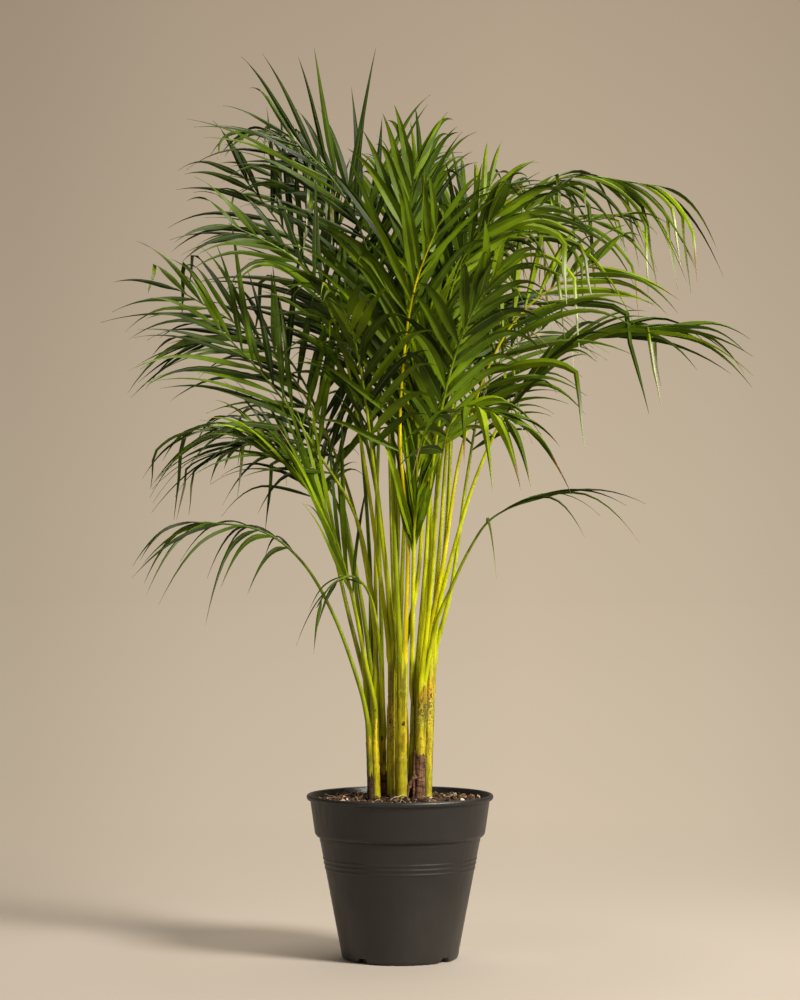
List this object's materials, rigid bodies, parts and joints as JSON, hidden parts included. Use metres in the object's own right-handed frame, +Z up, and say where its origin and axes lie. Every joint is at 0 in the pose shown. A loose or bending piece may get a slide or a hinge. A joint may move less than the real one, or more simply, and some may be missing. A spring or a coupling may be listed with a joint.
{
  "type": "potted palm",
  "caption": "Butterfly palm with a clump of ringed canes and arching feathered fronds, growing in a black plastic nursery pot filled with potting soil.",
  "frame": {"origin": "centre of the pot's flat underside", "axes": "+Z up, -Y the front as the picture shows it, +X the viewer's right"},
  "size_m": [0.7902, 0.7035, 1.1831],
  "materials": {
    "pot_plastic": "matte charcoal moulded plastic",
    "potting_soil": "loose brown bark crumbs with light chips",
    "green_cane": "smooth yellow-green cane with brown speckles and leaf scars",
    "dry_cane": "dull brown fibrous sheath",
    "palm_leaf": "satin green leaf, fine lengthwise veins, yellow-green stalk and rib"
  },
  "bodies": {
    "root": {"pot": "pot_plastic", "soil": "potting_soil", "cane_01": "green_cane", "cane_02": "green_cane", "cane_03": "dry_cane", "cane_04": "green_cane", "cane_05": "green_cane", "cane_06": "green_cane", "cane_07": "dry_cane", "cane_08": "green_cane", "cane_09": "green_cane", "cane_10": "green_cane", "cane_11": "green_cane", "cane_12": "green_cane", "cane_13": "dry_cane", "frond_01": "palm_leaf", "frond_02": "palm_leaf", "frond_03": "palm_leaf", "frond_04": "palm_leaf", "frond_05": "palm_leaf", "frond_06": "palm_leaf", "frond_07": "palm_leaf", "frond_08": "palm_leaf", "frond_09": "palm_leaf", "frond_10": "palm_leaf", "frond_11": "palm_leaf", "frond_12": "palm_leaf", "frond_13": "palm_leaf", "frond_14": "palm_leaf", "frond_15": "palm_leaf", "frond_16": "palm_leaf", "frond_17": "palm_leaf", "frond_18": "palm_leaf", "frond_19": "palm_leaf", "frond_20": "palm_leaf", "frond_21": "palm_leaf", "frond_22": "palm_leaf", "frond_23": "palm_leaf", "frond_24": "palm_leaf", "frond_25": "palm_leaf", "frond_26": "palm_leaf", "frond_27": "palm_leaf", "frond_28": "palm_leaf", "frond_29": "palm_leaf", "frond_30": "palm_leaf", "frond_31": "palm_leaf", "frond_32": "palm_leaf", "frond_33": "palm_leaf", "frond_34": "palm_leaf", "frond_35": "palm_leaf"}
  },
  "joints": []
}
